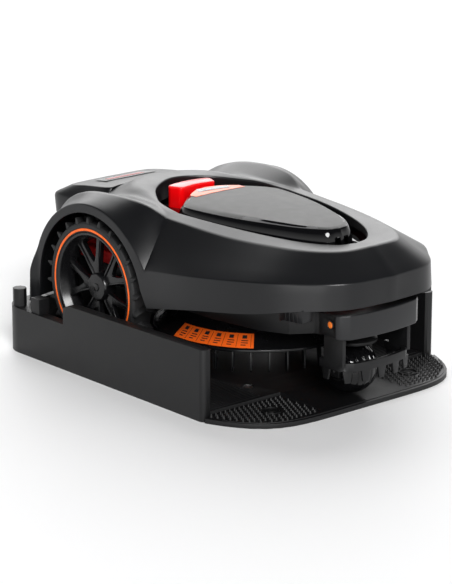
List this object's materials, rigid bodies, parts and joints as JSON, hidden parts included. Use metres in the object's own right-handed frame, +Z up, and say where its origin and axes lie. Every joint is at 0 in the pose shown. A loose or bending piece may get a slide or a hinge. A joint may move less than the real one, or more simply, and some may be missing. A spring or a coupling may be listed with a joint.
{
  "type": "robotic lawn mower",
  "caption": "Robotic lawn mower parked in its charging station: floating cover, hinged lid, stop button, drive wheels, front caster and height-adjustable blade disc.",
  "frame": {"origin": "on the ground under the middle of the drive axle, on the underside of the station's plate", "axes": "+X the way the mower drives out of the station, +Y its left side, +Z up"},
  "size_m": [0.664, 0.454, 0.2596],
  "materials": {
    "station_plastic": "fine moulded texture",
    "station_black": "fine moulded texture",
    "shell_plastic": "satin moulded texture",
    "bumper_plastic": "satin moulded texture",
    "gloss_black": "polished",
    "lid_plastic": "satin top with polished sides",
    "badge_plastic": "polished",
    "red_gloss": "polished",
    "dark_red": "fine moulded texture",
    "orange_plastic": "satin",
    "orange_label": "printed film",
    "orange_rubber": "matte",
    "tyre_rubber": "matte rubber",
    "key_rubber": "matte",
    "motor_metal": "dark satin",
    "steel": "brushed",
    "brass": "bright",
    "battery_wrap": "shrink film",
    "board_green": "solder mask",
    "lamp_green": "translucent"
  },
  "bodies": {
    "dock": {"dock_base": "station_black", "dock_rail_right": "station_plastic", "dock_rail_left": "station_plastic", "dock_bridge": "station_plastic", "dock_contact_housing": "station_black", "dock_power_socket": "gloss_black", "dock_status_light": "lamp_green"},
    "contact_right": {"dock_contact_pin_right": "brass"},
    "contact_left": {"dock_contact_pin_left": "brass"},
    "chassis": {"chassis_tub": "station_black", "upper_housing": "dark_red", "deck_skirt": "station_black", "skirt_label": "orange_label", "bumper_bar": "bumper_plastic", "bumper_core": "station_black", "comb_guard": "bumper_plastic", "bumper_plug_right": "orange_plastic", "bumper_plug_left": "orange_plastic", "drive_motor_right": "motor_metal", "drive_motor_left": "motor_metal", "charge_strip_right": "brass", "charge_strip_left": "brass", "battery_pack": "battery_wrap", "battery_cover": "station_black", "circuit_board": "board_green", "control_pod": "gloss_black", "keypad_panel": "bumper_plastic", "display_window": "gloss_black", "lid_hinge_pin": "steel"},
    "float_frame": {"float_frame": "station_black"},
    "cover": {"top_shell": "shell_plastic", "rear_badge": "badge_plastic"},
    "lid": {"lid": "lid_plastic", "lid_label": "orange_label"},
    "stop_button": {"stop_button": "red_gloss"},
    "key_power": {"key_power": "red_gloss"},
    "key_start": {"key_start": "key_rubber"},
    "key_home": {"key_home": "key_rubber"},
    "key_ok": {"key_ok": "key_rubber"},
    "height_knob": {"height_knob": "orange_plastic"},
    "wheel_right": {"tyre_right": "tyre_rubber", "tyre_stripe_right": "orange_rubber", "wheel_rim_right": "gloss_black", "axle_right": "steel"},
    "wheel_left": {"tyre_left": "tyre_rubber", "tyre_stripe_left": "orange_rubber", "wheel_rim_left": "gloss_black", "axle_left": "steel"},
    "caster_fork": {"caster_fork": "station_black", "caster_axle": "steel"},
    "caster_wheel": {"caster_wheel": "gloss_black"},
    "carriage": {"blade_motor": "motor_metal"},
    "blade_disc": {"blade_disc": "orange_plastic", "blade_screw_1": "steel", "blade_screw_2": "steel", "blade_screw_3": "steel"},
    "blade_1": {"blade_1": "steel"},
    "blade_2": {"blade_2": "steel"},
    "blade_3": {"blade_3": "steel"}
  },
  "joints": [
    {"name": "drive_off", "type": "slide", "parent": "dock", "child": "chassis", "axis": [1, 0, 0], "range_m": [0, 0.3]},
    {"name": "contact_right_press", "type": "slide", "parent": "dock", "child": "contact_right", "axis": [0, 0, -1], "range_m": [0, 0.003], "stiffness_N_per_m": 300, "springref_m": -0.001},
    {"name": "contact_left_press", "type": "slide", "parent": "dock", "child": "contact_left", "axis": [0, 0, -1], "range_m": [0, 0.003], "stiffness_N_per_m": 300, "springref_m": -0.001},
    {"name": "wheel_right_spin", "type": "hinge", "parent": "chassis", "child": "wheel_right", "pos_m": [0, 0, 0.12], "axis": [0, 1, 0], "continuous": true},
    {"name": "wheel_left_spin", "type": "hinge", "parent": "chassis", "child": "wheel_left", "pos_m": [0, 0, 0.12], "axis": [0, 1, 0], "continuous": true},
    {"name": "caster_swivel", "type": "hinge", "parent": "chassis", "child": "caster_fork", "pos_m": [0.369, 0, 0.1], "axis": [0, 0, 1], "continuous": true},
    {"name": "caster_roll", "type": "hinge", "parent": "caster_fork", "child": "caster_wheel", "pos_m": [0.364, 0, 0.0498], "axis": [0, 1, 0], "continuous": true},
    {"name": "cover_shift", "type": "slide", "parent": "chassis", "child": "float_frame", "axis": [1, 0, 0], "range_m": [-0.006, 0.006], "stiffness_N_per_m": 2500},
    {"name": "cover_lift", "type": "slide", "parent": "float_frame", "child": "cover", "axis": [0, 0, 1], "range_m": [0, 0.008]},
    {"name": "lid_hinge", "type": "hinge", "parent": "chassis", "child": "lid", "pos_m": [0.333, 0, 0.234], "axis": [0, 1, 0], "range_deg": [0, 70]},
    {"name": "stop_button_press", "type": "slide", "parent": "chassis", "child": "stop_button", "axis": [0, 0, -1], "range_m": [0, 0.006], "stiffness_N_per_m": 600, "springref_m": -0.003},
    {"name": "key_power_press", "type": "slide", "parent": "chassis", "child": "key_power", "axis": [0, 0, -1], "range_m": [0, 0.0012], "stiffness_N_per_m": 500, "springref_m": -0.0005},
    {"name": "key_start_press", "type": "slide", "parent": "chassis", "child": "key_start", "axis": [0, 0, -1], "range_m": [0, 0.0012], "stiffness_N_per_m": 500, "springref_m": -0.0005},
    {"name": "key_home_press", "type": "slide", "parent": "chassis", "child": "key_home", "axis": [0, 0, -1], "range_m": [0, 0.0012], "stiffness_N_per_m": 500, "springref_m": -0.0005},
    {"name": "key_ok_press", "type": "slide", "parent": "chassis", "child": "key_ok", "axis": [0, 0, -1], "range_m": [0, 0.0012], "stiffness_N_per_m": 500, "springref_m": -0.0005},
    {"name": "blade_height", "type": "slide", "parent": "chassis", "child": "carriage", "axis": [0, 0, 1], "range_m": [-0.04, 0]},
    {"name": "height_knob_turn", "type": "hinge", "parent": "chassis", "child": "height_knob", "pos_m": [0.25, 0, 0.225], "axis": [0, 0, 1], "range_deg": [0, 270]},
    {"name": "blade_disc_spin", "type": "hinge", "parent": "carriage", "child": "blade_disc", "pos_m": [0.163, 0, 0.075], "axis": [0, 0, 1], "continuous": true},
    {"name": "blade_1_swing", "type": "hinge", "parent": "blade_disc", "child": "blade_1", "pos_m": [0.163, 0.072, 0.0705], "axis": [0, 0, 1], "continuous": true},
    {"name": "blade_2_swing", "type": "hinge", "parent": "blade_disc", "child": "blade_2", "pos_m": [0.10065, -0.036, 0.0705], "axis": [0, 0, 1], "continuous": true},
    {"name": "blade_3_swing", "type": "hinge", "parent": "blade_disc", "child": "blade_3", "pos_m": [0.22535, -0.036, 0.0705], "axis": [0, 0, 1], "continuous": true}
  ],
  "couplings": [
    {"joint": "height_knob_turn", "follows": "blade_height", "rad_per_m": -117.8}
  ]
}
